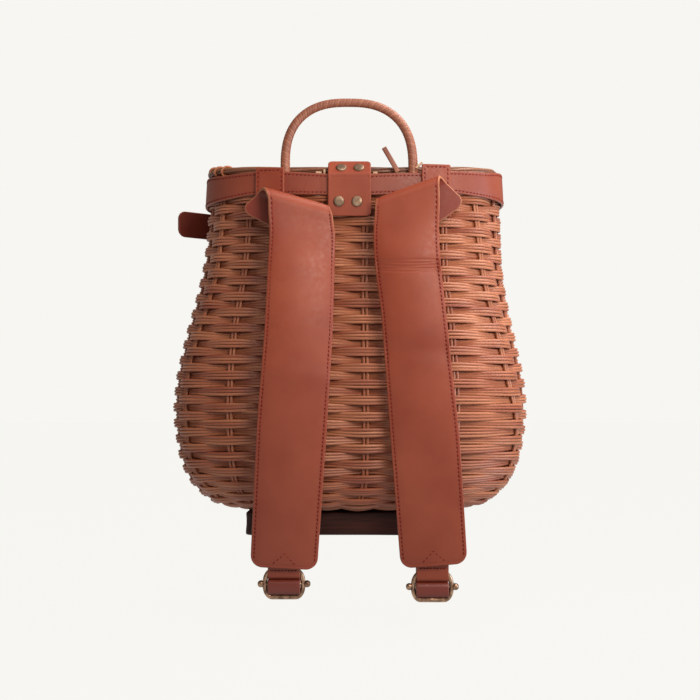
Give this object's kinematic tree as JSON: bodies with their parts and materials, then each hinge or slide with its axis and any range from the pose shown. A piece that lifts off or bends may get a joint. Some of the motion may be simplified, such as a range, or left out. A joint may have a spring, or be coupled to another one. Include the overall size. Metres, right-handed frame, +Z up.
{
  "type": "foraging backpack",
  "caption": "Wicker foraging backpack: a bellied woven basket with a lid, leather rim band, folded leather shoulder straps on wire buckles and a cane carrying handle.",
  "frame": {"origin": "underside of the top of the carrying handle, in the middle of its width, where a hook or a hand holds the pack", "axes": "+Z up, +X to the right of a viewer who faces the strap side, +Y from the strap side through the basket to its front"},
  "size_m": [0.3455, 0.2284, 0.4619],
  "materials": {
    "wicker": "satin, reddish-brown rattan",
    "leather": "smooth, satin, reddish tan",
    "leather_dark": "smooth, satin, darker tan",
    "bronze": "antique, dull",
    "rivet_metal": "antique, dull",
    "dark_wood": "dark stain, matte"
  },
  "bodies": {
    "root": {"basket_body": "wicker", "basket_lid": "wicker", "rim_band": "leather", "base_foot": "dark_wood", "handle": "wicker", "cane_end": "wicker", "hinge_tab": "leather", "rivet_lower_left": "rivet_metal", "rivet_lower_right": "rivet_metal", "rivet_upper_left": "rivet_metal", "rivet_upper_right": "rivet_metal", "strap_anchor_left": "leather", "shoulder_strap_left": "leather", "buckle_strip_left": "leather", "buckle_left": "bronze", "lower_strap_left": "leather", "strap_anchor_right": "leather", "shoulder_strap_right": "leather", "buckle_strip_right": "leather", "buckle_right": "bronze", "lower_strap_right": "leather", "closure_strap": "leather_dark"}
  },
  "joints": []
}
